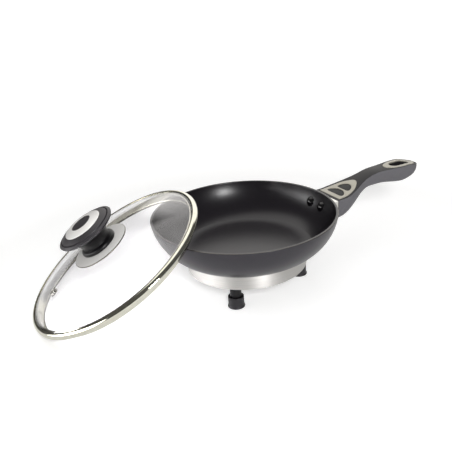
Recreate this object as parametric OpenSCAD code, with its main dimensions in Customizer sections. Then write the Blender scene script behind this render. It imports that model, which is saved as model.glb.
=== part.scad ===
// Electric frying pan on a heated base with a loose glass lid leaning against it.
// The pan's axis is Z, the worktop is Z = 0 and the handle points along +X.

/* [Pan] */
// Outside diameter of the rim
rim_d = 206; // [196:1:230]
// Height of the rim above the worktop
rim_z = 86; // [82:0.5:96]
// Radius of the bowl's outer wall in section
bowl_r = 53; // [51:0.5:56]
// Height of that arc's centre above the rim
bowl_lift = 6.5; // [5:0.5:8]
// Thickness of the bowl's wall
wall_t = 2.8; // [2:0.1:3.6]
// Thickness of the cooking floor
floor_t = 5.5; // [4.5:0.1:6.5]
// Height of the pan's underside above the worktop
underside_z = 40; // [39.5:0.1:41]
// Diameter of a rivet's shank
rivet_d = 5; // [4:0.5:6]
// Diameter of a rivet's domed head
rivet_head_d = 12; // [10:0.5:13]
// Height of a rivet's domed head
rivet_head_h = 3.5; // [2.5:0.25:4]
// Distance between the two rivets
rivet_pitch = 21; // [18:0.5:22]
// Angle of the rivets below the bowl arc's centre
rivet_dip = 24; // [22:0.5:26]

/* [Handle fixing] */
// Gap between the rim and the handle's root
root_gap = 9.5; // [7:0.5:14]
// Thickness of the bracket's flange
flange_t = 2.5; // [2:0.1:3.5]
// Width of the bracket's flange
flange_w = 31; // [28:1:36]
// Height of the bracket's flange
flange_h = 13; // [11:0.5:14]
// Width of the bracket's tang
tang_w = 16; // [12:1:20]
// Thickness of the bracket's tang
tang_t = 4; // [3:0.5:5]
// How far the tang reaches into the handle
tang_reach = 18; // [16:1:22]
// Thickness of the ferrule's wall
ferrule_t = 1.2; // [0.8:0.1:2]
// How far the ferrule's face lies inside the grip's
ferrule_inset = 0.6; // [0.4:0.1:1]
// Clearance between the bracket's flange and the ferrule above it
flange_gap = 0.8; // [0.6:0.1:1.5]
// Diameter of the handle screw's thread
screw_d = 4; // [3:0.5:5]
// Diameter of the handle screw's head
screw_head_d = 7; // [6:0.5:9]
// Height of the handle screw's head
screw_head_h = 2.5; // [2:0.25:3.5]
// Depth of the handle screw's head below the grip's underside
screw_sink = 1.5; // [1:0.25:3]

/* [Handle] */
// Length of the grip from its root to its tip
grip_len = 132; // [120:1:150]
// Width of the grip at its root
root_w = 45; // [42:0.5:50]
// Width of the grip at its waist
waist_w = 21.5; // [18:0.5:26]
// Width of the grip near its tip
tip_w = 29; // [28:0.5:34]
// Depth of the root's top below the rim
root_drop = 7; // [5:0.2:9]
// Thickness of the grip at its root
root_t = 29; // [26:0.5:32]
// Height of the grip's top above the rim towards its tip
tip_rise = 8.5; // [4:0.5:16]
// Thickness of the grip at its waist
waist_t = 17.5; // [14:0.5:20]
// Thickness of the grip near its tip
tip_t = 22; // [18:0.5:24]
// How far the grip's top falls at its very tip
tip_dip = 3; // [0:0.25:4]
// Squareness of the grip's section, 2 being round
grip_square = 2.5; // [2.2:0.1:3.2]
// Length of the hanging hole
hang_len = 26; // [22:0.5:27]
// Width of the hanging hole
hang_w = 13; // [11:0.5:14]
// Distance from the tip to the middle of the hanging hole
hang_back = 24.5; // [24:0.5:27]

/* [Handle inlays] */
// Thickness of the inlay plates
inlay_t = 1.2; // [0.8:0.1:2]
// How far the inlay plates stand proud
inlay_proud = 0.3; // [0:0.1:0.8]
// Margin between the front inlay and the grip's edge
inlay_margin = 3; // [2:0.25:4]
// Distance from the root to the front inlay
inlay_start = 3; // [2:0.5:5]
// Length of the front inlay
inlay_len = 38; // [36:0.5:42]
// Length of the front inlay's rounded end
inlay_round = 15; // [12:0.5:18]
// Length of the rear inlay
rear_len = 45; // [40:0.5:45]
// Width of the rear inlay
rear_w = 24; // [21:0.5:25]
// Thickness of a bean-shaped pad along the handle
bean_t = 10.5; // [8:0.25:10.75]
// How far a bean's middle bows towards the tip
bean_bow = 3; // [1:0.25:4]
// Across-handle length of the bean near the root
bean_near_len = 28; // [22:0.5:29]
// Across-handle length of the bean near the tip
bean_far_len = 21; // [16:0.5:22]
// Distance from the root to the nearer bean
bean_near_x = 13; // [11.5:0.25:14]
// Distance between the two beans
bean_pitch = 12.5; // [12:0.25:13]

/* [Heated base] */
// Distance from the legs' circle at the handle's side to the base ring's outside
ring_margin = 6.2; // [5.8:0.1:8]
// Thickness of the base ring's wall
ring_t = 1; // [0.6:0.1:1.5]
// Height of the base ring's lower edge above the worktop
ring_z = 26.4; // [24:0.2:28]
// Width of the lip turned in at the ring's lower edge
ring_lip = 2; // [1.5:0.1:2.5]
// Thickness of that lip
lip_t = 0.8; // [0.6:0.1:1.2]
// Thickness of the base plate
plate_t = 1.2; // [0.8:0.1:2]
// Diameter of the heater stack
stack_d = 108; // [100:1:112]
// Thickness of one mica disc
mica_t = 0.5; // [0.3:0.1:0.8]
// Thickness of the heating ribbon
ribbon_t = 0.5; // [0.3:0.1:0.8]
// Width of the heating ribbon
ribbon_w = 7; // [5:0.5:8]
// Pitch of the heating ribbon's turns
ribbon_pitch = 9.5; // [9:0.25:10]
// Radius of the innermost turn of the ribbon
ribbon_r = 19; // [17:0.5:20]
// Opening angle of the ribbon's turns
ribbon_open = 64; // [56:2:80]
// Thickness of the insulation pad
pad_t = 2.5; // [2:0.1:3]
// Thickness of the pressure plate
press_t = 1.2; // [0.8:0.1:1.5]
// Diameter of the pressure plate
press_d = 84; // [76:1:88]
// Diameter of the clamp stud
stud_d = 6; // [5:0.5:7]
// Width of a clamp nut across its flats
nut_af = 10; // [9:0.5:12]
// Height of a clamp nut
nut_h = 4; // [3:0.25:4.5]
// Diameter of the thermostat's body
stat_d = 16; // [14:0.5:18]
// Height of the thermostat
stat_h = 7; // [5.5:0.25:7.5]
// Distance of the thermostat from the pan's axis
stat_r = 34; // [32:0.5:36]
// Diameter of the thermal fuse
fuse_d = 3; // [2.5:0.1:3.2]
// Length of the thermal fuse's body
fuse_len = 12; // [10:0.5:15]
// Length of the terminal block
block_len = 18; // [16:0.5:22]
// Width of the terminal block
block_w = 10; // [9:0.5:11]
// Clearance between the terminal block and the cord gland
block_gap = 6; // [4:0.5:8]
// Height of the terminal block
block_h = 4.6; // [4:0.2:5]
// Diameter of a lead wire
lead_d = 2; // [1.5:0.1:2.2]

/* [Cord gland] */
// Diameter of the gland's bore for the cord
gland_bore_d = 6.4; // [5.5:0.1:7]
// Diameter of the gland where it passes the ring
gland_neck_d = 9; // [8.5:0.1:9.6]
// Diameter of the gland's outer flange
gland_flange_d = 12.5; // [11.5:0.25:13]
// Thickness of the gland's outer flange
gland_flange_t = 4; // [2.5:0.25:8]
// Length of the gland inside the ring
gland_inside = 5; // [4:0.25:6]
// Height of the gland above the ring's lower edge
gland_rise = 8; // [7.5:0.1:8.2]

/* [Legs and feet] */
// Radius of the circle on which the legs stand
leg_r = 57; // [54:0.5:60]
// Diameter of a leg
leg_d = 12.4; // [11:0.2:12.8]
// Bearing of the first leg
leg_az = -137; // [-140:1:-125]
// How far that circle is set off towards the handle
leg_shift = 3.8; // [0:0.2:5]
// Diameter of a leg screw's thread
leg_screw_d = 5; // [4:0.5:6]
// Length of a leg screw below the base plate
leg_screw_len = 16; // [12:0.5:18]
// Diameter of a leg screw's head
leg_head_d = 9; // [8:0.5:9]
// Height of a leg screw's head
leg_head_h = 2.6; // [2:0.2:3.2]
// Diameter of a rubber foot at its top
foot_top_d = 17.4; // [16.4:0.2:20]
// Diameter of a rubber foot at its bottom bead
foot_d = 19; // [18:0.2:22]
// Height of a rubber foot
foot_h = 12.6; // [10:0.2:15]
// Thickness of a rubber foot's sole
sole_t = 4; // [3:0.25:5]
// Height of the bead round a foot's sole
bead_h = 1.8; // [1.2:0.2:2.6]
// Wall of a rubber foot at its open top
foot_wall = 1.1; // [0.8:0.1:1.4]

/* [Lid] */
// How far the band's rolled edge reaches past the rim
lid_over = 4.9; // [4.4:0.1:5.4]
// Play between the band's skirt and the pan's wall
skirt_play = 0.7; // [0.5:0.1:1.2]
// Height of the glass dome's top above the skirt's lower edge
dome_h = 32.8; // [31:0.1:34]
// Height of the glass's upper edge above the skirt's lower edge
dome_edge_h = 11; // [10:0.1:12]
// Thickness of the glass
glass_t = 3.6; // [3:0.1:3.9]
// Thickness of the band's metal
band_t = 0.8; // [0.6:0.1:1]
// Radius of the band's rolled edge
edge_roll = 2; // [1.6:0.1:2.3]
// Width of the lip rolled over the glass
lip_w = 4.5; // [3:0.25:6]
// Distance of the steam vent from the lid's axis
vent_r = 70; // [60:0.5:80]
// Bearing of the steam vent from the lid's lowest point
vent_az = 3; // [-15:1:15]
// Diameter of the steam vent's opening
vent_d = 4; // [3:0.5:5]
// Diameter of the steam vent's flange
vent_flange_d = 10; // [8:0.5:12]
// Thickness of the steam vent's flange
vent_flange_t = 0.8; // [0.5:0.1:1.2]

/* [Lid knob] */
// Diameter of the bright disc under the knob
disc_d = 65; // [56:1:72]
// Thickness of the bright disc
disc_t = 1.2; // [0.8:0.1:2]
// Diameter of the stem's foot
stem_foot_d = 41; // [35:1:44]
// Diameter of the stem's waist
stem_waist_d = 33; // [29:1:35]
// Diameter of the stem's head under the cap
stem_head_d = 50; // [44:1:52]
// Height of the stem
stem_h = 19; // [16:0.5:22]
// Diameter of the knob's cap
cap_d = 66; // [58:1:72]
// Height of the knob's cap
cap_h = 12.5; // [10:0.5:15]
// Height of the cap's widest edge above its underside
cap_edge_h = 4.5; // [3:0.25:5.5]
// Outside diameter of the ring inlaid in the cap
badge_d = 43; // [38:1:46]
// Width of that ring
badge_w = 10; // [6:0.5:12]
// Thickness of that ring
badge_t = 1.4; // [1:0.1:1.8]
// Diameter of the knob screw's thread
knob_screw_d = 6; // [5:0.5:7]
// Diameter of the knob screw's head
knob_head_d = 11; // [9:0.5:13]
// Height of the knob screw's head
knob_head_h = 3.5; // [2.5:0.25:5]
// Diameter of the washer under the glass
washer_d = 17; // [14:0.5:20]
// Thickness of the washer under the glass
washer_t = 1.5; // [1:0.1:2.5]

/* [Lid at rest] */
// Slope of the leaning lid
lean_tilt = 29.9; // [28:0.1:31]
// Bearing the leaning lid's top faces
lean_az = 166.3; // [160:0.1:175]
// Gap left between the skirt's lower edge and the rim that it leans on
lean_gap = 0.35; // [0.3:0.05:0.5]

/* [Hidden] */
$fn = 96;
// Gap left between pieces that are seated on each other's curved faces
seat = 0.15;
// Overrun of a cutting shape past the face that it cuts
over = 1;

// Pan section
rim_r = rim_d / 2;
bowl_cz = rim_z + bowl_lift;
bowl_cr = rim_r - sqrt(bowl_r * bowl_r - bowl_lift * bowl_lift);
floor_z = underside_z + floor_t;
rivet_bore_d = rivet_d + seat;
rivet_face = bowl_r - wall_t;
rivet_az = asin(rivet_pitch / 2 / (bowl_cr + bowl_r * cos(rivet_dip)));
function bowl_z(r) = bowl_cz - sqrt(bowl_r * bowl_r - (r - bowl_cr) * (r - bowl_cr));

// Handle shape along its length, u running from 0 at the root to 1 at the tip
root_x = rim_r + root_gap;
tip_x = root_x + grip_len;
hang_x = tip_x - hang_back;
// Where the width, the top and the underside start and end their sweeps
narrow_u = [0.08, 0.42];
widen_u = [0.52, 0.82];
climb_u = [0.03, 0.55];
lift_u = [0.04, 0.45];
sag_u = [0.55, 0.84];
dip_u = [0.84, 1];
round_u = 1 - tip_w / 2 / grip_len;
nose_u = 1 - tip_t * 1.2 / grip_len;
// Thickness left at the very tip, as a share of the grip's
nose_flat = 0.3;
grip_stations = [for (i = [0:20]) i * 0.04, 0.84, 0.88, 0.91, 0.94, 0.96, 0.975, 0.988, 0.996];
section_step = 11.25;
function smooth(t) = let (c = max(0, min(1, t))) c * c * (3 - 2 * c);
function sweep(u, span) = smooth((u - span[0]) / (span[1] - span[0]));
function past(u, start) = max(0, min(1, (u - start) / (1 - start)));
function grip_u(x) = (x - root_x) / grip_len;
function grip_half(u) =
    (root_w + (waist_w - root_w) * sweep(u, narrow_u) + (tip_w - waist_w) * sweep(u, widen_u)) / 2
    * sqrt(1 - pow(past(u, round_u), 2));
function grip_top(u) =
    rim_z - root_drop + (root_drop + tip_rise) * sweep(u, climb_u) - tip_dip * sweep(u, dip_u);
root_low = rim_z - root_drop - root_t;
waist_low = rim_z + tip_rise - waist_t;
tip_low = rim_z + tip_rise - tip_t;
function grip_low(u) =
    let (low = root_low + (waist_low - root_low) * sweep(u, lift_u) + (tip_low - waist_low) * sweep(u, sag_u))
    grip_top(u) - (grip_top(u) - low) * sqrt(1 - (1 - nose_flat * nose_flat) * pow(past(u, nose_u), 2));
function bulge(c) = sign(c) * pow(abs(c), 2 / grip_square);
function grip_section(u, inset) = [
    for (a = [0:section_step:180])
        [(grip_half(u) - inset) * bulge(cos(a)),
         grip_top(u) - inset - (grip_top(u) - grip_low(u) - 2 * inset) * bulge(sin(a))]
];
// The bracket hangs under the ferrule's roof
tang_z = grip_top(0) - ferrule_inset - ferrule_t - flange_gap - flange_h / 2;
handle_screw_x = root_x + tang_reach / 2;
handle_screw_z = grip_low(grip_u(handle_screw_x)) + screw_sink;

// Heated base levels, from the pan's underside down
ring_r = leg_r + leg_shift + ring_margin;
ring_in = ring_r - ring_t;
plate_z = ring_z + lip_t;
plate_top = plate_z + plate_t;
ribbon_z = underside_z - mica_t - ribbon_t;
mica_low_z = ribbon_z - mica_t;
pad_z = mica_low_z - pad_t;
press_z = pad_z - press_t;
stat_hole_d = stat_d + 1.5;
stud_hole_d = stud_d + 0.5;
gland_z = ring_z + gland_rise;
gland_hole_d = gland_neck_d + 2 * seat;
gland_barb_d = gland_neck_d + 0.8;
gland_barb_t = 1.5;
block_x = ring_in - gland_inside - block_w - block_gap;
fuse_y = press_d / 2 - 9;
fuse_z = press_z - fuse_d / 2 - seat / 2;
lead_z = plate_top + lead_d / 2 + seat / 2;
lead_y = stat_d / 3;
// Push-on tags of the thermostat
tag_len = 6;
tag_t = 0.8;

// Legs and feet
leg_bearings = [leg_az, leg_az + 120, leg_az + 240];
leg_bore_d = leg_screw_d + seat;

// Lid shape
lid_r = rim_r + lid_over;
skirt_r = rim_r - wall_t - skirt_play;
skirt_in = skirt_r - band_t;
glass_r = lid_r - edge_roll;
dome_rise = dome_h - dome_edge_h;
dome_r = (glass_r * glass_r + dome_rise * dome_rise) / (2 * dome_rise);
dome_cz = dome_h - dome_r;
under_r = dome_r - glass_t;
vent_neck_d = vent_d + 2;
stem_z = dome_h + disc_t;
cap_z = stem_z + stem_h;
cap_r = cap_d / 2;
cap_rise = cap_h - cap_edge_h;
crown_r = (cap_r * cap_r + cap_rise * cap_rise) / (2 * cap_rise);
crown_cz = cap_z + cap_h - crown_r;
groove_w = 1.2;
function dome_z(r) = dome_cz + sqrt(dome_r * dome_r - r * r);
function under_z(r) = dome_cz + sqrt(under_r * under_r - r * r);

// Lid at rest: the skirt stands on the worktop and crosses the rim at two points, which carry it
lean_z = skirt_r * sin(lean_tilt);
// Gap between the pan's wall and a point at a distance from the pan's axis and a height
function wall_gap(across, high) =
    let (
        arm = norm([across - bowl_cr, high - bowl_cz]),
        side = max(arm - bowl_r, bowl_r - wall_t - arm),
        above = high - rim_z
    )
    side > 0 && above > 0 ? norm([side, above]) : max(side, above);
// Least gap between the wall and the skirt's lower edge, with the lid's axis at a distance from the pan's
function hem_gap(out) = min([
    for (r = [skirt_in, skirt_r], a = [95:0.25:175])
        wall_gap(norm([out + r * cos(a) * cos(lean_tilt), r * sin(a)]), lean_z - r * cos(a) * sin(lean_tilt))
]);
function lean_reach(near, far, tries) =
    let (mid = (near + far) / 2)
    tries == 0 ? far
    : hem_gap(mid) < lean_gap ? lean_reach(mid, far, tries - 1)
    : lean_reach(near, mid, tries - 1);
lean_out = lean_reach(rim_r, rim_r + skirt_r, 20);
lean_pos = [lean_out * cos(lean_az), lean_out * sin(lean_az), lean_z];

// Section of the bowl grown by a distance, between two heights
module bowl_section(grow, low, high) {
    intersection() {
        union() {
            translate([bowl_cr, bowl_cz]) circle(r = bowl_r + grow);
            translate([0, low]) square([bowl_cr, high - low]);
        }
        translate([0, low]) square([rim_r + bowl_r, high - low]);
    }
}

// Everything inside the bowl's outer face grown by a distance
module bowl_fill(grow) {
    rotate_extrude() bowl_section(grow, underside_z - grow, bowl_cz);
}

// Puts a rivet's axis on the line from the bowl arc's centre, square to the wall
module rivet_places() {
    for (side = [-1, 1])
        rotate([0, 0, side * rivet_az])
            translate([bowl_cr, 0, bowl_cz])
                rotate([0, 90 + rivet_dip, 0])
                    children();
}

module pan() {
    color("#3b393c")
        difference() {
            rotate_extrude()
                difference() {
                    bowl_section(0, underside_z, rim_z);
                    bowl_section(-wall_t, floor_z, rim_z + over);
                }
            rivet_places()
                translate([0, 0, rivet_face - over]) cylinder(d = rivet_bore_d, h = wall_t + 2 * over);
        }
}

module pan_rivets() {
    dome_ball = (pow(rivet_head_d / 2, 2) + rivet_head_h * rivet_head_h) / (2 * rivet_head_h);
    head_face = rivet_face - 2 * seat;
    color("#17161a")
        rivet_places() {
            translate([0, 0, head_face - rivet_head_h])
                intersection() {
                    translate([0, 0, dome_ball]) sphere(r = dome_ball);
                    cylinder(d = rivet_head_d, h = rivet_head_h);
                }
            translate([0, 0, head_face]) cylinder(d = rivet_d, h = bowl_r + flange_t + 3 * seat - head_face);
            translate([0, 0, bowl_r + flange_t + 3 * seat]) cylinder(d = rivet_d * 1.5, h = rivet_d / 4);
        }
}

module handle_bracket() {
    tang_end = root_x + tang_reach;
    color("#a9a8a4")
        difference() {
            union() {
                intersection() {
                    bowl_fill(seat + flange_t);
                    translate([bowl_cr, -flange_w / 2, tang_z - flange_h / 2]) cube([bowl_r, flange_w, flange_h]);
                }
                translate([bowl_cr, -tang_w / 2, tang_z - tang_t / 2]) cube([tang_end - bowl_cr, tang_w, tang_t]);
            }
            bowl_fill(seat);
            rivet_places() cylinder(d = rivet_bore_d, h = bowl_r + flange_t + over);
            rivet_places()
                translate([0, 0, bowl_r + flange_t + 2 * seat]) cylinder(d = rivet_d * 1.5 + seat, h = rivet_d);
            translate([handle_screw_x, 0, 0]) cylinder(d = screw_d, h = rim_z);
        }
}

// Solid of the grip's section at the root, run along X
module root_prism(start, end, inset) {
    translate([start, 0, 0])
        rotate([90, 0, 90])
            linear_extrude(end - start) polygon(grip_section(0, inset));
}

module handle_ferrule() {
    color("#c9c6bd")
        difference() {
            root_prism(bowl_cr, root_x - seat, ferrule_inset);
            root_prism(bowl_cr - over, root_x + over, ferrule_inset + ferrule_t);
            bowl_fill(2 * seat);
        }
}

// Grip as a skin over its sections
module grip_body() {
    sections = [for (u = grip_stations) grip_section(u, 0)];
    count = len(sections[0]);
    last = len(sections) - 1;
    points = [
        for (i = [0:last])
            for (p = sections[i]) [root_x + grip_len * grip_stations[i], p[0], p[1]]
    ];
    skin = [
        for (i = [0:last - 1])
            for (k = [0:count - 1])
                let (n = (k + 1) % count, a = i * count, b = a + count)
                    each [[a + k, b + k, a + n], [a + n, b + k, b + n]]
    ];
    ends = [[for (k = [0:count - 1]) k], [for (k = [count - 1:-1:0]) last * count + k]];
    polyhedron(points, concat(skin, ends), convexity = 6);
}

// Slab that follows the grip's top face between two offsets from it
module top_slab(low, high) {
    last = len(grip_stations) - 1;
    upper = [for (u = grip_stations) [root_x + grip_len * u, grip_top(u) + high]];
    lower = [
        for (i = [last:-1:0]) [root_x + grip_len * grip_stations[i], grip_top(grip_stations[i]) + low]
    ];
    translate([0, root_w, 0]) rotate([90, 0, 0]) linear_extrude(2 * root_w) polygon(concat(upper, lower));
}

// Plan outline of the front inlay, following the grip's edge and ending in a round nose
function front_half(x, spare) =
    (grip_half(grip_u(x)) - inlay_margin + spare)
    * sqrt(max(0, 1 - pow(max(0, (x - root_x - inlay_start - inlay_len + inlay_round) / (inlay_round + spare)), 2)));
module front_outline(spare) {
    start = root_x + inlay_start - spare;
    end = root_x + inlay_start + inlay_len + spare;
    steps = 24;
    xs = [for (i = [0:steps]) start + (end - start) * sin(90 * i / steps)];
    polygon(concat(
        [for (x = xs) [x, front_half(x, spare)]],
        [for (i = [steps - 1:-1:0]) [xs[i], -front_half(xs[i], spare)]]
    ));
}

// Plan outline of a bean bowed towards the tip
module bean(x, length, spare) {
    polygon([
        for (a = [0:12:348])
            [x + (bean_t / 2 + spare) * cos(a) + bean_bow * (pow(cos(a), 2) - 0.5),
             (length / 2 + spare) * sin(a)]
    ]);
}
module beans(spare) {
    bean(root_x + bean_near_x, bean_near_len, spare);
    bean(root_x + bean_near_x + bean_pitch, bean_far_len, spare);
}

module rear_outline(spare) {
    polygon([
        for (a = [0:9:351])
            [hang_x + (rear_len / 2 + spare) * cos(a), (rear_w / 2 + spare) * sin(a)]
    ]);
}

module hang_slot(spare) {
    for (side = [-1, 1])
        translate([hang_x + side * (hang_len - hang_w) / 2, 0, 0]) cylinder(d = hang_w + 2 * spare, h = 2 * rim_z);
    translate([hang_x - (hang_len - hang_w) / 2, -hang_w / 2 - spare, 0])
        cube([hang_len - hang_w, hang_w + 2 * spare, 2 * rim_z]);
}

module handle_shell() {
    color("#4a484c")
        difference() {
            grip_body();
            intersection() {
                top_slab(-inlay_t - seat, rim_z);
                union() {
                    linear_extrude(2 * rim_z) front_outline(seat);
                    linear_extrude(2 * rim_z) rear_outline(seat);
                }
            }
            hang_slot(0);
            translate([root_x - over, -tang_w / 2 - seat, tang_z - tang_t / 2 - seat])
                cube([tang_reach + 2 * over, tang_w + 2 * seat, tang_t + 2 * seat]);
            translate([handle_screw_x, 0, 0]) {
                cylinder(d = screw_d + 0.4, h = tang_z + tang_t);
                cylinder(d = screw_head_d + 0.6, h = handle_screw_z + screw_head_h + seat);
            }
        }
}

module handle_screw() {
    shank = tang_z + tang_t / 2 - handle_screw_z;
    color("#8d8c8a")
        translate([handle_screw_x, 0, handle_screw_z])
            difference() {
                union() {
                    cylinder(d = screw_head_d, h = screw_head_h);
                    cylinder(d = screw_d - 0.05, h = shank);
                }
                for (turn = [0, 90])
                    rotate([0, 0, turn])
                        translate([-screw_head_d / 3, -0.5, -over]) cube([screw_head_d * 2 / 3, 1, 1.2 + over]);
            }
}

module handle_front_inlay() {
    color("#b8b5a9")
        intersection() {
            top_slab(-inlay_t, inlay_proud);
            linear_extrude(2 * rim_z)
                difference() {
                    front_outline(0);
                    beans(seat);
                }
        }
}

module handle_pads() {
    color("#2b292c")
        intersection() {
            top_slab(-inlay_t, inlay_proud / 2);
            linear_extrude(2 * rim_z) beans(0);
        }
}

module handle_rear_inlay() {
    color("#b8b5a9")
        difference() {
            intersection() {
                top_slab(-inlay_t, inlay_proud);
                linear_extrude(2 * rim_z) rear_outline(0);
            }
            hang_slot(0.6);
        }
}

module base_ring() {
    color("#bcbab6")
        difference() {
            translate([0, 0, ring_z]) cylinder(r = ring_r, h = bowl_z(ring_r) + over - ring_z);
            translate([0, 0, ring_z + lip_t]) cylinder(r = ring_in, h = rim_z);
            translate([0, 0, ring_z - over]) cylinder(r = ring_in - ring_lip, h = rim_z);
            bowl_fill(seat);
            translate([0, 0, gland_z]) rotate([0, 90, 0]) cylinder(d = gland_hole_d, h = 2 * ring_r);
        }
}

module base_plate() {
    color("#9b9a98")
        difference() {
            translate([0, 0, plate_z]) cylinder(r = ring_in - seat, h = plate_t);
            translate([0, 0, plate_z - over]) cylinder(d = stud_hole_d, h = plate_t + 2 * over);
            for (a = leg_bearings)
                leg_place(a)
                    translate([0, 0, plate_z - over]) cylinder(d = leg_screw_d + 0.5, h = plate_t + 2 * over);
        }
}

module cord_gland() {
    color("#1c1b1e")
        translate([0, 0, gland_z])
            rotate([0, 90, 0])
                difference() {
                    union() {
                        translate([0, 0, ring_in - gland_inside])
                            cylinder(d = gland_neck_d, h = ring_t + gland_inside + seat);
                        translate([0, 0, ring_r + seat]) cylinder(d = gland_flange_d, h = gland_flange_t);
                        translate([0, 0, ring_in - 3 * seat - gland_barb_t])
                            cylinder(d = gland_barb_d, h = gland_barb_t);
                    }
                    cylinder(d = gland_bore_d, h = 2 * ring_r);
                }
}

module clamp_stud() {
    color("#a9a8a4")
        translate([0, 0, plate_z - nut_h - over])
            cylinder(d = stud_d, h = underside_z - plate_z + nut_h + over);
}

module hex_nut(z) {
    translate([0, 0, z])
        difference() {
            cylinder(d = nut_af / cos(30), h = nut_h, $fn = 6);
            translate([0, 0, -over]) cylinder(d = stud_d + seat, h = nut_h + 2 * over);
        }
}

module clamp_nuts() {
    color("#a9a8a4") {
        hex_nut(press_z - nut_h);
        hex_nut(plate_z - nut_h);
    }
}

// One layer of the heater stack, open for the stud and the thermostat
module stack_layer(z, thickness, diameter) {
    translate([0, 0, z])
        difference() {
            cylinder(d = diameter, h = thickness);
            translate([0, 0, -over]) cylinder(d = stud_hole_d, h = thickness + 2 * over);
            translate([-stat_r, 0, -over]) cylinder(d = stat_hole_d, h = thickness + 2 * over);
        }
}

module heating_ribbon() {
    turns = 3;
    start = 180 + ribbon_open / 2;
    sweep_a = 360 - ribbon_open;
    color("#8a8178")
        translate([0, 0, ribbon_z]) {
            for (i = [0:turns])
                rotate([0, 0, start])
                    rotate_extrude(angle = sweep_a)
                        translate([ribbon_r + i * ribbon_pitch - ribbon_w / 2, 0]) square([ribbon_w, ribbon_t]);
            for (i = [0:turns - 1])
                rotate([0, 0, i % 2 == 0 ? start : start + sweep_a])
                    translate([ribbon_r + i * ribbon_pitch, i % 2 == 0 ? over : -ribbon_w - over, 0])
                        cube([ribbon_pitch, ribbon_w, ribbon_t]);
        }
}

module mica_upper() {
    color("#c8b27a") stack_layer(underside_z - mica_t, mica_t, stack_d);
}

module mica_lower() {
    color("#c8b27a") stack_layer(mica_low_z, mica_t, stack_d);
}

module insulation_pad() {
    color("#d9d6cf") stack_layer(pad_z, pad_t, stack_d);
}

module pressure_plate() {
    color("#9b9a98") stack_layer(press_z, press_t, press_d);
}

module thermostat() {
    stat_z = underside_z - stat_h;
    color("#2e2b2b") {
        translate([-stat_r, 0, stat_z]) cylinder(d = stat_d, h = stat_h);
        for (side = [-1, 1])
            translate([-stat_r - tag_len / 2, side * lead_y - tag_t / 2, lead_z])
                cube([tag_len, tag_t, stat_z + tag_t - lead_z]);
    }
}

module thermal_fuse() {
    color("#d8d5cc")
        translate([-fuse_len / 2, fuse_y, fuse_z])
            rotate([0, 90, 0]) {
                cylinder(d = fuse_d, h = fuse_len);
                translate([0, 0, -fuse_len / 4]) cylinder(d = fuse_d / 3, h = fuse_len * 1.5);
            }
}

module terminal_block() {
    way = block_len / 3;
    color("#e6e2d6")
        difference() {
            translate([block_x, -block_len / 2, plate_top]) cube([block_w, block_len, block_h]);
            for (i = [-1:1])
                translate([block_x + block_w / 2, i * way, plate_top + block_h / 2])
                    cylinder(d = way / 2, h = block_h);
        }
}

module lead_wires() {
    start = -stat_r + tag_len / 2 + seat;
    color("#a33b2f")
        for (side = [-1, 1])
            translate([start, side * lead_y, lead_z])
                rotate([0, 90, 0]) cylinder(d = lead_d, h = block_x - seat - start);
}

// Puts a leg's axis on the circle of legs
module leg_place(bearing) {
    translate([leg_shift, 0, 0]) rotate([0, 0, bearing]) translate([leg_r, 0, 0]) children();
}

module leg_screws() {
    color("#8d8c8a")
        for (a = leg_bearings)
            leg_place(a) {
                translate([0, 0, plate_top]) cylinder(d = leg_head_d, h = leg_head_h);
                translate([0, 0, plate_z - leg_screw_len]) cylinder(d = leg_screw_d, h = leg_screw_len + plate_t);
            }
}

module leg(i) {
    color("#333236")
        leg_place(leg_bearings[i])
            difference() {
                translate([0, 0, sole_t]) cylinder(d = leg_d, h = ring_z - sole_t);
                translate([0, 0, plate_z - leg_screw_len - seat])
                    cylinder(d = leg_bore_d, h = leg_screw_len + over);
            }
}

module foot(i) {
    grip_h = (foot_h - sole_t) / 2;
    color("#1b1a1d")
        leg_place(leg_bearings[i])
            difference() {
                union() {
                    cylinder(d1 = foot_d - bead_h, d2 = foot_top_d, h = foot_h);
                    cylinder(d = foot_d, h = bead_h);
                }
                translate([0, 0, sole_t]) cylinder(d = leg_d + seat, h = foot_h);
                translate([0, 0, sole_t + grip_h])
                    cylinder(d1 = leg_d + seat, d2 = foot_top_d - 2 * foot_wall, h = foot_h - sole_t - grip_h);
                translate([0, 0, foot_h - over / 100]) cylinder(d = foot_top_d - 2 * foot_wall, h = over);
            }
}

// Moves the lid's own frame to where the lid leans
module lid_pose() {
    translate(lean_pos) rotate([0, lean_tilt, lean_az]) children();
}

module lid_glass() {
    color("#dfe8e6", 0.35)
        lid_pose()
            difference() {
                intersection() {
                    translate([0, 0, dome_cz])
                        difference() {
                            sphere(r = dome_r);
                            sphere(r = under_r);
                        }
                    cylinder(r = glass_r, h = dome_h + over);
                }
                cylinder(d = knob_screw_d + 1, h = dome_h + over);
                vent_place() translate([0, 0, -dome_r / 2]) cylinder(d = vent_neck_d + seat, h = dome_r);
            }
}

// Puts the vent's axis square to the glass
module vent_place() {
    translate([0, 0, dome_cz])
        rotate([0, asin(vent_r / dome_r), vent_az])
            translate([0, 0, dome_r])
                children();
}

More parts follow.
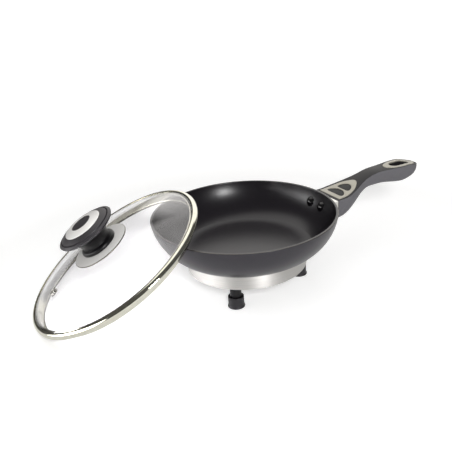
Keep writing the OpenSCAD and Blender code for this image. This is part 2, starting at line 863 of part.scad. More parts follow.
module lid_band() {
    lip_r = lid_r - lip_w;
    lip_top = dome_z(glass_r) + seat + band_t;
    leg_low = under_z(glass_r) - seat - band_t;
    roll_low = [
        for (a = [-90:15:0]) [glass_r + edge_roll * cos(a), leg_low + edge_roll + edge_roll * sin(a)]
    ];
    roll_top = [
        for (a = [0:15:90]) [glass_r + edge_roll * cos(a), lip_top - edge_roll + edge_roll * sin(a)]
    ];
    color("#c6c3b8")
        lid_pose()
            rotate_extrude()
                polygon(concat(
                    [[skirt_r, 0], [skirt_r, under_z(skirt_r) - seat - band_t]],
                    roll_low,
                    roll_top,
                    [
                        [lip_r, dome_z(lip_r) + seat + band_t],
                        [lip_r, dome_z(lip_r) + seat],
                        [glass_r + seat, dome_z(glass_r) + seat],
                        [glass_r + seat, under_z(glass_r) - seat],
                        [skirt_in, under_z(skirt_in) - seat],
                        [skirt_in, 0]
                    ]
                ));
}

module vent_eyelet() {
    color("#c9c6bd")
        lid_pose()
            vent_place()
                difference() {
                    union() {
                        translate([0, 0, seat]) cylinder(d = vent_flange_d, h = vent_flange_t);
                        translate([0, 0, -glass_t - 2 * seat - vent_flange_t])
                            cylinder(d = vent_flange_d, h = vent_flange_t);
                        translate([0, 0, -glass_t - 2 * seat]) cylinder(d = vent_neck_d, h = glass_t + 3 * seat);
                    }
                    translate([0, 0, -2 * glass_t]) cylinder(d = vent_d, h = 4 * glass_t);
                }
}

module knob_disc() {
    color("#d5d3cd")
        lid_pose()
            difference() {
                intersection() {
                    translate([0, 0, dome_cz])
                        difference() {
                            sphere(r = dome_r + disc_t);
                            sphere(r = dome_r + seat);
                        }
                    cylinder(d = disc_d, h = dome_h + disc_t + over);
                }
                cylinder(d = knob_screw_d + 1, h = dome_h + disc_t + over);
            }
}

// Radius of the stem at a share t of its height
function stem_r(t) =
    (stem_waist_d + (stem_foot_d - stem_waist_d) * pow(1 - t, 4) + (stem_head_d - stem_waist_d) * pow(t, 3)) / 2;

module knob_stem() {
    steps = 16;
    skirt = [for (i = [0:steps]) [stem_r(i / steps), stem_z + stem_h * i / steps]];
    color("#1f1d20")
        lid_pose()
            difference() {
                rotate_extrude()
                    polygon(concat(
                        [[0, dome_h], [stem_foot_d / 2, dome_h]],
                        skirt,
                        [[0, cap_z]]
                    ));
                translate([0, 0, dome_cz]) sphere(r = dome_r + disc_t + seat);
                cylinder(d = knob_screw_d + seat, h = cap_z - stem_h / 4);
            }
}

module knob_cap() {
    under = [
        [0, cap_z + seat],
        [stem_head_d / 2, cap_z + seat],
        [cap_r - cap_edge_h * 0.6, cap_z + cap_edge_h * 0.25],
        [cap_r - cap_edge_h * 0.15, cap_z + cap_edge_h * 0.6],
        [cap_r, cap_z + cap_edge_h]
    ];
    crown = [for (a = [asin(cap_r / crown_r):-2:0]) [crown_r * sin(a), crown_cz + crown_r * cos(a)]];
    badge_r = badge_d / 2;
    color("#57545a")
        lid_pose()
            difference() {
                rotate_extrude() polygon(concat(under, crown, [[0, cap_z + cap_h]]));
                rotate_extrude()
                    translate([cap_r - 3 * groove_w, crown_cz + sqrt(crown_r * crown_r - pow(cap_r - 3 * groove_w, 2))])
                        circle(d = groove_w);
                difference() {
                    translate([0, 0, crown_cz + sqrt(crown_r * crown_r - badge_r * badge_r) - badge_t])
                        cylinder(r = badge_r + seat, h = cap_h);
                    cylinder(r = badge_r - badge_w - seat, h = cap_z + 2 * cap_h);
                }
            }
}

module knob_ring() {
    badge_r = badge_d / 2;
    low = crown_cz + sqrt(crown_r * crown_r - badge_r * badge_r) - badge_t;
    color("#d9d8d4")
        lid_pose()
            difference() {
                intersection() {
                    translate([0, 0, low]) cylinder(r = badge_r, h = cap_h);
                    translate([0, 0, crown_cz]) sphere(r = crown_r + 2 * seat);
                }
                cylinder(r = badge_r - badge_w, h = cap_z + 2 * cap_h);
            }
}

module knob_washer() {
    color("#8d8c8a")
        lid_pose()
            difference() {
                translate([0, 0, under_z(0) - washer_t - 2 * seat]) cylinder(d = washer_d, h = washer_t);
                cylinder(d = knob_screw_d + 0.5, h = dome_h);
            }
}

module knob_screw() {
    head_z = under_z(0) - washer_t - 2 * seat - knob_head_h;
    color("#a9a8a4")
        lid_pose()
            translate([0, 0, head_z])
                difference() {
                    union() {
                        cylinder(d = knob_head_d, h = knob_head_h);
                        cylinder(d = knob_screw_d, h = cap_z - stem_h / 4 - head_z - over);
                    }
                    for (turn = [0, 90])
                        rotate([0, 0, turn])
                            translate([-knob_head_d / 3, -0.6, -over])
                                cube([knob_head_d * 2 / 3, 1.2, knob_head_h / 2 + over]);
                }
}

pan();
pan_rivets();
handle_bracket();
handle_ferrule();
handle_shell();
handle_screw();
handle_front_inlay();
handle_pads();
handle_rear_inlay();
base_ring();
base_plate();
cord_gland();
clamp_stud();
clamp_nuts();
heating_ribbon();
mica_upper();
mica_lower();
insulation_pad();
pressure_plate();
thermostat();
thermal_fuse();
terminal_block();
lead_wires();
leg_screws();
leg(0);  // leg_left
leg(1);  // leg_right
leg(2);  // leg_back
foot(0);  // foot_left
foot(1);  // foot_right
foot(2);  // foot_back
lid_glass();
lid_band();
vent_eyelet();
knob_disc();
knob_stem();
knob_cap();
knob_ring();
knob_washer();
knob_screw();
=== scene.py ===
import math

import bpy
from mathutils import Matrix, Vector


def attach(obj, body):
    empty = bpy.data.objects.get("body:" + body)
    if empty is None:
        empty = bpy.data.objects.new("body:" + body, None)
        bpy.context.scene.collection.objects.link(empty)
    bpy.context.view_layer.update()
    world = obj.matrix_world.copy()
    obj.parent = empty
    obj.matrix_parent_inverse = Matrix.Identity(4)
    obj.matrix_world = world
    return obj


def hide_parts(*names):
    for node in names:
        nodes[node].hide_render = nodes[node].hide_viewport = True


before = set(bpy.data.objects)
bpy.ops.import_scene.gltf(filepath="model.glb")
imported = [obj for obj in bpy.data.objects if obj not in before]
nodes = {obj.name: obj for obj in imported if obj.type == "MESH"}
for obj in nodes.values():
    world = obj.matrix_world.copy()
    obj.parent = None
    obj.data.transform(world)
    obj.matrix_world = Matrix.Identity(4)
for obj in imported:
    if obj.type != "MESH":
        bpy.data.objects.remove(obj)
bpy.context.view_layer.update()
print("frame loaded:", len(nodes), "nodes")

mm = 0.001  # piece sizes below are written in millimetres
weldGap = 0.005  # points of a turned piece that are closer than this are merged
sharpAngle = 50  # edges that turn by more degrees than this are bevelled


# Selection and modelling helpers

def clearSelection():
    if bpy.context.object and bpy.context.object.mode != "OBJECT":
        bpy.ops.object.mode_set(mode="OBJECT")
    bpy.ops.object.select_all(action="DESELECT")


def pick(piece):
    clearSelection()
    piece.select_set(True)
    bpy.context.view_layer.objects.active = piece


def applyModifier(piece, kind, **settings):
    pick(piece)
    modifier = piece.modifiers.new(kind.title(), kind)
    for key, value in settings.items():
        setattr(modifier, key, value)
    bpy.ops.object.modifier_apply(modifier=modifier.name)


def softenEdges(piece, width, segments=2):
    applyModifier(piece, "BEVEL", width=width * mm, segments=segments, limit_method="ANGLE",
                  angle_limit=math.radians(sharpAngle))


def smooth(piece, degrees=32):
    pick(piece)
    bpy.ops.object.shade_smooth_by_angle(angle=math.radians(degrees))


def arcPoints(centre, radius, start, end, steps):  # an arc in the (radius, height) plane, angles in degrees
    turns = [math.radians(start + (end - start) * i / steps) for i in range(steps + 1)]
    return [(centre[0] + radius * math.cos(a), centre[1] + radius * math.sin(a)) for a in turns]


def drawPath(name, points):  # one vertex dragged along the points, the way a profile is drawn by hand
    clearSelection()
    bpy.ops.mesh.primitive_plane_add(size=1)
    piece = bpy.context.object
    piece.name = name
    piece.data.name = name
    bpy.ops.object.mode_set(mode="EDIT")
    bpy.ops.mesh.merge(type="CENTER")
    spots = [Vector(p) * mm for p in points]
    bpy.ops.transform.translate(value=spots[0])
    for before, after in zip(spots, spots[1:]):
        bpy.ops.mesh.extrude_vertices_move(TRANSFORM_OT_translate={"value": after - before})
    return piece


def turnProfile(name, profile, steps):  # profile of (radius, height) turned about Z
    piece = drawPath(name, [(r, 0, z) for r, z in profile])
    bpy.ops.mesh.select_all(action="SELECT")
    bpy.ops.mesh.spin(steps=steps, angle=2 * math.pi, center=(0, 0, 0), axis=(0, 0, 1))
    bpy.ops.mesh.select_all(action="SELECT")
    bpy.ops.mesh.remove_doubles(threshold=weldGap * mm)
    bpy.ops.mesh.normals_make_consistent(inside=False)
    bpy.ops.object.mode_set(mode="OBJECT")
    return piece


def roundCorners(profile, radii, steps=4):  # fillets corners of a profile, by index, with a quadratic curve
    out = []
    last = len(profile)
    for i, corner in enumerate(profile):
        if i not in radii:
            out.append(corner)
            continue
        here = Vector(corner)
        before = Vector(profile[i - 1])
        after = Vector(profile[(i + 1) % last])
        start = here + (before - here).normalized() * radii[i]
        end = here + (after - here).normalized() * radii[i]
        for k in range(steps + 1):
            t = k / steps
            spot = start * (1 - t) ** 2 + here * 2 * t * (1 - t) + end * t * t
            out.append((spot.x, spot.y))
    return out


def place(piece, location, rotation):
    pick(piece)
    piece.location = Vector(location) * mm
    piece.rotation_euler = [math.radians(a) for a in rotation]
    bpy.ops.object.transform_apply(location=True, rotation=True, scale=True)


def faceSpot(face):  # a face's place in millimetres, its distance from Z and how far it looks outwards
    spot = face.center / mm
    reach = math.hypot(spot.x, spot.y)
    outward = face.normal.x * spot.x + face.normal.y * spot.y
    return spot, reach, outward


def dress(piece, *keys):  # faces take the first finish, or another by its index
    for key in keys:
        piece.data.materials.append(finish[key])


def finishPiece(piece, body, node):
    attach(piece, body)
    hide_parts(node)


# Material helpers

def hexColour(text):  # sRGB hex to the linear colour that the shader takes
    channels = [int(text[i:i + 2], 16) / 255 for i in (1, 3, 5)]
    return tuple(c / 12.92 if c <= 0.04045 else ((c + 0.055) / 1.055) ** 2.4 for c in channels) + (1.0,)


def addNode(tree, kind, settings=None, links=None):  # settings name sockets or properties, links feed sockets
    node = tree.nodes.new(kind)
    for key, value in (settings or {}).items():
        if isinstance(key, int) or key in node.inputs:
            node.inputs[key].default_value = value
        else:
            setattr(node, key, value)
    for key, source in (links or {}).items():
        tree.links.new(source, node.inputs[key])
    return node


def newMaterial(name, **sockets):
    material = bpy.data.materials.new(name)
    material.use_nodes = True
    tree = material.node_tree
    shader = tree.nodes["Principled BSDF"]
    for key, value in sockets.items():
        shader.inputs[key.replace("_", " ")].default_value = value
    return material, tree, shader


def perMetre(sizeMm):  # texture scale at which one feature is sizeMm wide
    return 1.0 / (sizeMm * mm)


noiseShape = {"detail": 4.0, "roughness": 0.6, "ends": (0.3, 0.7)}  # ends are where the plain colours begin


def mottle(tree, shader, size, dark, light, roughness, bump, stretch=(1, 1, 1)):
    # colour, roughness and relief that follow one noise of the given feature size
    n = noiseShape
    spot = addNode(tree, "ShaderNodeTexCoord").outputs["Object"]
    mapping = addNode(tree, "ShaderNodeMapping", {"Scale": stretch}, {"Vector": spot})
    noise = addNode(tree, "ShaderNodeTexNoise",
                    {"Scale": perMetre(size), "Detail": n["detail"], "Roughness": n["roughness"]},
                    {"Vector": mapping.outputs["Vector"]}).outputs["Fac"]
    ramp = addNode(tree, "ShaderNodeValToRGB", links={"Fac": noise})
    for element, position, colour in zip(ramp.color_ramp.elements, n["ends"], (dark, light)):
        element.position = position
        element.color = hexColour(colour)
    tree.links.new(ramp.outputs["Color"], shader.inputs["Base Color"])
    spread = addNode(tree, "ShaderNodeMapRange", {"To Min": roughness[0], "To Max": roughness[1]},
                     {"Value": noise})
    tree.links.new(spread.outputs["Result"], shader.inputs["Roughness"])
    relief = addNode(tree, "ShaderNodeBump", {"Strength": bump[0], "Distance": bump[1] * mm},
                     {"Height": noise})
    tree.links.new(relief.outputs["Normal"], shader.inputs["Normal"])


# Finishes: a grain too fine to show in a render is drawn coarser than life

def nonstickCoating():  # sprayed PTFE on cast aluminium: near black, satin, with a fine orange peel
    material, tree, shader = newMaterial("nonstickCoating", IOR=1.5)
    mottle(tree, shader, 0.9, "#120f14", "#1a171c", (0.26, 0.34), (0.14, 0.06))
    return material


def outerEnamel():  # baked enamel outside the bowl: charcoal with a trace of purple, satin
    material, tree, shader = newMaterial("outerEnamel", IOR=1.5)
    mottle(tree, shader, 0.9, "#242128", "#29262d", (0.26, 0.32), (0.01, 0.01))
    return material


def bareRim():  # machined aluminium where the coating ends: grey and satin
    material, tree, shader = newMaterial("bareAluminiumRim", Metallic=1.0)
    mottle(tree, shader, 0.6, "#5f5c56", "#7f7b73", (0.3, 0.42), (0.1, 0.03))
    return material


def brushedStainless():  # belt-brushed sheet: long fine scratches that run round the wall
    material, tree, shader = newMaterial("brushedStainless", Metallic=1.0, Anisotropic=0.75,
                                         Anisotropic_Rotation=0.25)
    mottle(tree, shader, 0.5, "#d3d1ce", "#e1dfdc", (0.48, 0.56), (0.05, 0.02), stretch=(0.02, 0.02, 1.0))
    return material


def polishedStainless(name, dark, light, roughness):  # buffed stainless: a mirror with a faint haze
    material, tree, shader = newMaterial(name, Metallic=1.0)
    mottle(tree, shader, 6.0, dark, light, roughness, (0.02, 0.02))
    return material


def blastedStainless():  # bead-blasted stainless: pale, scatters light like a paint, with a soft sheen
    material, tree, shader = newMaterial("blastedStainless", Metallic=0.1, IOR=1.5)
    mottle(tree, shader, 0.6, "#f8f6f3", "#fdfcfa", (0.2, 0.28), (0.04, 0.02))
    return material


def clearGlass():  # toughened soda-lime glass: clear, hardly tinted
    return newMaterial("clearToughenedGlass", IOR=1.45, Transmission_Weight=1.0, Roughness=0.0,
                       Base_Color=hexColour("#f9f8fa"))[0]


def softTouch(name, dark, light):  # moulded grip with a soft lacquer: charcoal, satin, very fine grain
    material, tree, shader = newMaterial(name, IOR=1.33)
    mottle(tree, shader, 0.8, dark, light, (0.45, 0.55), (0.1, 0.05))
    return material


def silverLacquer():  # metallic lacquer on moulded plates: warm grey with fine flake
    material, tree, shader = newMaterial("warmSilverLacquer", Metallic=0.35, IOR=1.5)
    mottle(tree, shader, 0.5, "#a39f93", "#b0aca0", (0.36, 0.46), (0.06, 0.03))
    return material


def padRubber():  # moulded thermoplastic rubber: nearly black and matt
    material, tree, shader = newMaterial("padRubber", IOR=1.5)
    mottle(tree, shader, 0.7, "#171618", "#1d1c1e", (0.55, 0.7), (0.12, 0.05))
    return material


def footRubber():  # nitrile rubber caps: black with a satin moulded skin
    material, tree, shader = newMaterial("footRubber", IOR=1.52)
    mottle(tree, shader, 0.8, "#171619", "#222025", (0.3, 0.42), (0.1, 0.05))
    return material


def blackPhenolic():  # compression-moulded phenolic: deep black, semi-gloss
    material, tree, shader = newMaterial("blackPhenolic", IOR=1.38)
    mottle(tree, shader, 1.2, "#0d0c0e", "#131214", (0.32, 0.4), (0.03, 0.03))
    return material


def rivetEnamel():  # stove enamel on the rivet heads: black and glossy
    material, tree, shader = newMaterial("rivetEnamel", IOR=1.5)
    mottle(tree, shader, 2.0, "#09080a", "#0e0d0f", (0.12, 0.18), (0.02, 0.02))
    return material


def knobLacquer():  # soft lacquer on the cap: purple grey, satin
    material, tree, shader = newMaterial("knobLacquer", IOR=1.46)
    mottle(tree, shader, 0.8, "#2b282c", "#322f33", (0.36, 0.44), (0.06, 0.03))
    return material


def zincSteel():  # zinc-plated steel: dull grey with a slight bloom
    material, tree, shader = newMaterial("zincPlatedSteel", Metallic=1.0)
    mottle(tree, shader, 2.5, "#9a9996", "#b7b6b2", (0.34, 0.5), (0.08, 0.04))
    return material


def resistanceRibbon():  # nickel-chrome strip: brown grey oxide
    material, tree, shader = newMaterial("resistanceRibbon", Metallic=0.9)
    mottle(tree, shader, 1.5, "#6d645b", "#8a8077", (0.4, 0.6), (0.1, 0.04))
    return material


def micaSheet():  # pressed mica: amber flakes with a pearly gloss
    material, tree, shader = newMaterial("micaSheet", IOR=1.58)
    mottle(tree, shader, 4.0, "#a88c52", "#d0b878", (0.25, 0.45), (0.15, 0.05))
    return material


def ceramicFibre():  # felted ceramic wool: white and dead matt
    material, tree, shader = newMaterial("ceramicFibre", IOR=1.5)
    mottle(tree, shader, 1.0, "#d3d0c8", "#e6e4dd", (0.85, 0.95), (0.5, 0.2))
    return material


def creamPlastic():  # heat-proof moulding powder: cream, satin
    material, tree, shader = newMaterial("creamMoulding", IOR=1.5)
    mottle(tree, shader, 1.0, "#d9d3c2", "#e5e0d1", (0.4, 0.5), (0.06, 0.04))
    return material


def siliconeLead():  # silicone sleeving: brick red, satin
    material, tree, shader = newMaterial("siliconeLead", IOR=1.43)
    mottle(tree, shader, 1.0, "#8f3328", "#a64034", (0.4, 0.55), (0.08, 0.04))
    return material


finish = {
    "coating": nonstickCoating(),
    "enamel": outerEnamel(),
    "rim": bareRim(),
    "brushed": brushedStainless(),
    "polished": polishedStainless("polishedStainless", "#d4d2c4", "#dfddd0", (0.06, 0.11)),
    "bright": polishedStainless("brightStainless", "#d5d3cd", "#e2e0db", (0.05, 0.1)),
    "dull": polishedStainless("rolledStainless", "#b9b7a9", "#c6c4b6", (0.12, 0.18)),
    # dark grey finish: painted shade on the band's inner fold, and also the knob disc's dark outer band
    "darkEdges": polishedStainless("darkEdgeStainless", "#57544b", "#6b685f", (0.35, 0.45)),
    "blasted": blastedStainless(),
    "glass": clearGlass(),
    "gripTop": softTouch("softTouchTop", "#1e1c1e", "#242224"),
    "gripSide": softTouch("softTouchSide", "#5f5e62", "#67666a"),
    "silver": silverLacquer(),
    "pad": padRubber(),
    "rubber": footRubber(),
    "phenolic": blackPhenolic(),
    "rivet": rivetEnamel(),
    "knob": knobLacquer(),
    "zinc": zincSteel(),
    "ribbon": resistanceRibbon(),
    "mica": micaSheet(),
    "fibre": ceramicFibre(),
    "cream": creamPlastic(),
    "lead": siliconeLead(),
}
print("finishes made:", len(finish))

nodeFinish = {
    "pan_rivets": "rivet", "handle_bracket": "zinc", "handle_screw": "zinc", "handle_ferrule": "bright",
    "base_plate": "zinc", "cord_gland": "phenolic", "clamp_stud": "zinc", "clamp_nuts": "zinc",
    "heating_ribbon": "ribbon", "mica_upper": "mica", "mica_lower": "mica", "insulation_pad": "fibre",
    "pressure_plate": "zinc", "thermostat": "phenolic", "thermal_fuse": "cream", "terminal_block": "cream",
    "lead_wires": "lead", "leg_screws": "zinc", "leg_left": "phenolic", "leg_right": "phenolic",
    "leg_back": "phenolic", "knob_washer": "zinc", "knob_screw": "zinc",
}
for name, key in nodeFinish.items():
    nodes[name].data.materials.clear()
    dress(nodes[name], key)
print("finishes set on kept CAD pieces:", len(nodeFinish))


# Pan: rounded bowl turned from one section, with a bare metal edge

panShape = {
    "rim": 103.0,        # outer radius at the rim
    "rimHeight": 86.0,
    "arc": 53.0,         # radius of the outer wall in section
    "arcLift": 6.5,      # arc centre above the rim
    "wall": 2.8,
    "underside": 40.0,
    "floor": 45.5,
    "corner": 9.0,       # blend between wall and cooking floor
    "cornerShare": 0.9,  # part of that blend that is curved
    "cornerPoints": 4,   # points of the wall that it takes the place of
    "edge": 0.7,         # rounding of the rim's edges
    "bare": 0.35,        # width of the bare metal line along the rim
    "bareShare": 0.4,    # part of the edge's rounding that is bare
    "facesDown": -0.5,   # faces that look down more than this are enamelled
    "wallSteps": 40, "cornerSteps": 8, "turns": 192,
}


def bowlCentre():  # centre of the wall's arc, as radius and height
    s = panShape
    return (s["rim"] - math.sqrt(s["arc"] ** 2 - s["arcLift"] ** 2), s["rimHeight"] + s["arcLift"])


def bowlArc(radius, start, end):  # the part of an arc about that centre between two heights
    centre = bowlCentre()
    angles = [math.degrees(math.asin((height - centre[1]) / radius)) for height in (start, end)]
    return arcPoints(centre, radius, angles[0], angles[1], panShape["wallSteps"])


def bowlLow(radius):  # height of the bowl's outer face
    centre = bowlCentre()
    return centre[1] - math.sqrt(panShape["arc"] ** 2 - (radius - centre[0]) ** 2)


def makePan():
    s = panShape
    outside = bowlArc(s["arc"], s["underside"], s["rimHeight"])
    inside = bowlArc(s["arc"] - s["wall"], s["rimHeight"], s["floor"])
    lip = len(outside)
    profile = [(0, s["underside"])] + outside + inside
    profile = roundCorners(profile, {lip: s["edge"], lip + 1: s["edge"]})
    foot = inside[-1]
    blendStart = len(profile) - 1 - s["cornerPoints"]
    bend = [profile[blendStart], foot, (foot[0] - s["corner"], s["floor"]), (0, s["floor"])]
    profile = profile[:blendStart] + roundCorners(bend, {1: s["corner"] * s["cornerShare"]}, s["cornerSteps"])
    pan = turnProfile("panBowl", profile, s["turns"])
    dress(pan, "coating", "rim", "enamel")
    bareLow = s["rimHeight"] - s["edge"] * s["bareShare"]
    bareIn = s["rim"] - s["edge"] - s["bare"]
    for face in pan.data.polygons:
        spot, reach, outward = faceSpot(face)
        onEdge = spot.z > bareLow and reach > bareIn
        enamelled = outward > 0 or face.normal.z < s["facesDown"]
        face.material_index = 1 if onEdge else 2 if enamelled else 0
    smooth(pan, degrees=40)
    finishPiece(pan, "skillet", "pan")


makePan()
print("pan turned")


# Heated base: brushed ring with a rolled lower edge, and rubber feet

ringShape = {
    "radius": 67.0, "wall": 1.0, "low": 26.4, "lip": 2.0, "lipThick": 0.8, "roll": 0.7,
    "gap": 0.2,          # left under the bowl
    "burr": 0.25,        # rounding of the upper edge
    "turns": 192,
}


def makeRing():
    s = ringShape
    wallIn = s["radius"] - s["wall"]
    lipIn = wallIn - s["lip"]
    lipTop = s["low"] + s["lipThick"]
    profile = [
        (lipIn, s["low"]), (s["radius"], s["low"]), (s["radius"], bowlLow(s["radius"]) - s["gap"]),
        (wallIn, bowlLow(wallIn) - s["gap"]), (wallIn, lipTop), (lipIn, lipTop), (lipIn, s["low"]),
    ]
    ring = turnProfile("baseRing", roundCorners(profile, {1: s["roll"], 2: s["burr"]}), s["turns"])
    smooth(ring)
    dress(ring, "brushed")
    finishPiece(ring, "skillet", "base_ring")


footShape = {
    "bearings": {"foot_left": -137, "foot_right": -17, "foot_back": 103},
    "orbit": 57.0, "shift": 3.8,    # circle of the feet, and how far it is off the pan's centre
    "sole": 4.0, "height": 12.6, "top": 8.7,
    "bead": 9.5, "beadHeight": 1.8, "step": (0.8, 0.5),    # round the sole, and the step above it
    "bore": 6.3, "mouth": 7.6, "mouthDepth": 4.3,
    "rounds": {1: 0.8, 2: 0.7, 3: 0.4, 4: 0.5, 5: 0.4, 6: 0.8},    # by corner of the section
    "turns": 64,
}


def makeFeet():
    s = footShape
    stepIn, stepUp = s["step"]
    profile = [
        (0, 0), (s["bead"], 0), (s["bead"], s["beadHeight"]), (s["bead"] - stepIn, s["beadHeight"] + stepUp),
        (s["top"], s["height"]), (s["mouth"], s["height"]), (s["bore"], s["height"] - s["mouthDepth"]),
        (s["bore"], s["sole"]), (0, s["sole"]),
    ]
    rounded = roundCorners(profile, s["rounds"])
    for node, bearing in s["bearings"].items():
        turn = math.radians(bearing)
        foot = turnProfile(node + "_cap", rounded, s["turns"])
        place(foot, (s["shift"] + s["orbit"] * math.cos(turn), s["orbit"] * math.sin(turn), 0), (0, 0, 0))
        smooth(foot)
        dress(foot, "rubber")
        finishPiece(foot, "skillet", node)


makeRing()
makeFeet()
print("base ring and feet turned")


# Handle: one section carried along the grip, scaled at each station

handleShape = {
    "root": 112.5, "length": 132.0, "rimHeight": panShape["rimHeight"],
    "rootWidth": 45.0, "waistWidth": 21.5, "tipWidth": 29.0,
    "rootDrop": 7.0, "tipRise": 8.5, "tipDip": 3.0,
    "rootThick": 29.0, "waistThick": 17.5, "tipThick": 22.0,
    # where along the grip each change of width and height starts and ends
    "narrow": (0.08, 0.42), "widen": (0.52, 0.82),
    "climb": (0.03, 0.55), "lift": (0.04, 0.45), "sag": (0.55, 0.84), "dip": (0.84, 1.0),
    "square": 2.5,       # squareness of the section, 2 is round
    "noseFlat": 0.3,     # share of the thickness left at the nose
    "noseReach": 1.2,    # length of the rounded nose, in thicknesses of the tip
    "stations": 64, "lastStation": 0.995, "sectionPoints": 32,
    "crease": 1.4,       # rounding of the edge round the top face
    "creaseSteps": 3,
    "darkDepth": 2.0,    # faces this near the top are dark
    "darkFacing": 0.75,  # where they look up more than this
}


def ease(t):
    t = min(1.0, max(0.0, t))
    return t * t * (3 - 2 * t)


def sweepOver(u, change):
    start, end = handleShape[change]
    return ease((u - start) / (end - start))


def past(u, start):
    return min(1.0, max(0.0, (u - start) / (1 - start)))


def gripHalf(u):
    s = handleShape
    width = (s["rootWidth"] + (s["waistWidth"] - s["rootWidth"]) * sweepOver(u, "narrow")
             + (s["tipWidth"] - s["waistWidth"]) * sweepOver(u, "widen"))
    roundStart = 1 - s["tipWidth"] / 2 / s["length"]
    return width / 2 * math.sqrt(max(0.0, 1 - past(u, roundStart) ** 2))


def gripTop(u):
    s = handleShape
    climb = (s["rootDrop"] + s["tipRise"]) * sweepOver(u, "climb")
    return s["rimHeight"] - s["rootDrop"] + climb - s["tipDip"] * sweepOver(u, "dip")


def gripLow(u):
    s = handleShape
    high = s["rimHeight"] + s["tipRise"]
    root = s["rimHeight"] - s["rootDrop"] - s["rootThick"]
    low = (root + (high - s["waistThick"] - root) * sweepOver(u, "lift")
           + (s["waistThick"] - s["tipThick"]) * sweepOver(u, "sag"))
    noseStart = 1 - s["tipThick"] * s["noseReach"] / s["length"]
    keep = math.sqrt(1 - (1 - s["noseFlat"] ** 2) * past(u, noseStart) ** 2)
    return gripTop(u) - (gripTop(u) - low) * keep


def gripX(u):
    return handleShape["root"] + handleShape["length"] * u


def gripU(x):
    return (x - handleShape["root"]) / handleShape["length"]


def unitSection(count):  # flat top from -1 to 1 at height 0, bulging down to -1
    power = 2 / handleShape["square"]
    out = []
    for i in range(count + 1):
        a = math.pi * i / count
        c = math.cos(a)
        out.append((math.copysign(abs(c) ** power, c), -math.sin(a) ** power))
    return out


def makeGrip():
    s = handleShape
    # stations crowd towards the rounded tip
    us = [s["lastStation"] * math.sin(math.pi / 2 * i / s["stations"]) for i in range(s["stations"] + 1)]
    section = unitSection(s["sectionPoints"])
    half = gripHalf(us[0])
    thick = gripTop(us[0]) - gripLow(us[0])
    points = [(gripX(us[0]), half * y, gripTop(us[0]) + thick * z) for y, z in section]
    grip = drawPath("handleGrip", points)
    bpy.ops.mesh.select_all(action="SELECT")
    bpy.ops.mesh.edge_face_add()
    for before, after in zip(us, us[1:]):
        step = gripX(after) - gripX(before)
        bpy.ops.mesh.extrude_region_move(TRANSFORM_OT_translate={"value": (step * mm, 0, 0)})
        wide = gripHalf(after) / gripHalf(before)
        tall = (gripTop(after) - gripLow(after)) / (gripTop(before) - gripLow(before))
        centre = (gripX(after) * mm, 0, gripTop(before) * mm)
        bpy.ops.transform.resize(value=(1, wide, tall), center_override=centre)
        bpy.ops.transform.translate(value=(0, 0, (gripTop(after) - gripTop(before)) * mm))
    bpy.ops.mesh.select_all(action="SELECT")
    bpy.ops.mesh.normals_make_consistent(inside=False)
    bpy.ops.object.mode_set(mode="OBJECT")
    return grip


hangSlot = {
    "centre": 220.0, "length": 26.0, "width": 13.0,
    "cut": (60.0, 120.0),    # heights between which it is cut
    "walls": (13.2, 6.76),   # reach of its walls along the grip and across it, within which the walls are painted dark as shade
    "steps": 64,
}
frontPlate = {
    "start": 3.0, "length": 38.0, "round": 15.0, "margin": 3.8,
    "thick": 1.2, "proud": 0.3, "edge": 0.25,
}
rearPlate = {
    "length": 45.0, "width": 24.0, "opening": 1.2,    # its opening is that much larger than the slot
    "thick": 1.2, "proud": 0.3, "edge": 0.25,
}
beanShape = {
    "thick": 10.5, "bow": 3.0, "lengths": (28.0, 21.0), "first": 13.0, "pitch": 12.5,
    "gap": 0.2, "sink": 0.2, "edge": 0.3, "cut": 6.0,
}
pocketShape = {"gap": 0.6, "deeper": 0.15, "above": 12.0}  # room that the plates have in the grip


def slotCutter(name, spare):  # rounded slot cut straight down
    s = hangSlot
    low, high = s["cut"]
    width = s["width"] + spare
    length = s["length"] + spare
    middle = s["centre"] * mm
    clearSelection()
    bpy.ops.mesh.primitive_cylinder_add(vertices=s["steps"], radius=width / 2 * mm, depth=(high - low) * mm,
                                        location=(middle, 0, (low + high) / 2 * mm))
    cutter = bpy.context.object
    cutter.name = name
    bpy.ops.object.transform_apply(location=True, rotation=False, scale=False)
    for vertex in cutter.data.vertices:  # the halves of the cylinder are drawn apart
        side = 1 if vertex.co.x >= middle else -1
        vertex.co.x += side * (length - width) / 2 * mm
    return cutter


def cutWith(piece, cutter):
    applyModifier(piece, "BOOLEAN", operation="DIFFERENCE", object=cutter, solver="EXACT")
    pick(cutter)
    bpy.ops.object.delete()


def frontHalf(x, spare):
    s = frontPlate
    nose = (x - handleShape["root"] - s["start"] - s["length"] + s["round"]) / (s["round"] + spare)
    return (gripHalf(gripU(x)) - s["margin"] + spare) * math.sqrt(max(0.0, 1 - max(0.0, nose) ** 2))


def frontOutline(spare, steps=40):
    s = frontPlate
    start = handleShape["root"] + s["start"] - spare
    end = start + s["length"] + 2 * spare
    xs = [start + (end - start) * math.sin(math.pi / 2 * i / steps) for i in range(steps + 1)]
    right = [(x, frontHalf(x, spare)) for x in xs]
    left = [(x, -y) for x, y in reversed(right[:-1])]
    return right + left


def beanOutline(index, spare, steps=48):
    s = beanShape
    centre = handleShape["root"] + s["first"] + index * s["pitch"]
    out = []
    for i in range(steps):
        a = 2 * math.pi * i / steps
        x = centre + (s["thick"] / 2 + spare) * math.cos(a) + s["bow"] * (math.cos(a) ** 2 - 0.5)
        out.append((x, (s["lengths"][index] / 2 + spare) * math.sin(a)))
    return out


def rearOutline(spare, steps=64):
    turns = [2 * math.pi * i / steps for i in range(steps)]
    return [(hangSlot["centre"] + (rearPlate["length"] / 2 + spare) * math.cos(a),
             (rearPlate["width"] / 2 + spare) * math.sin(a)) for a in turns]


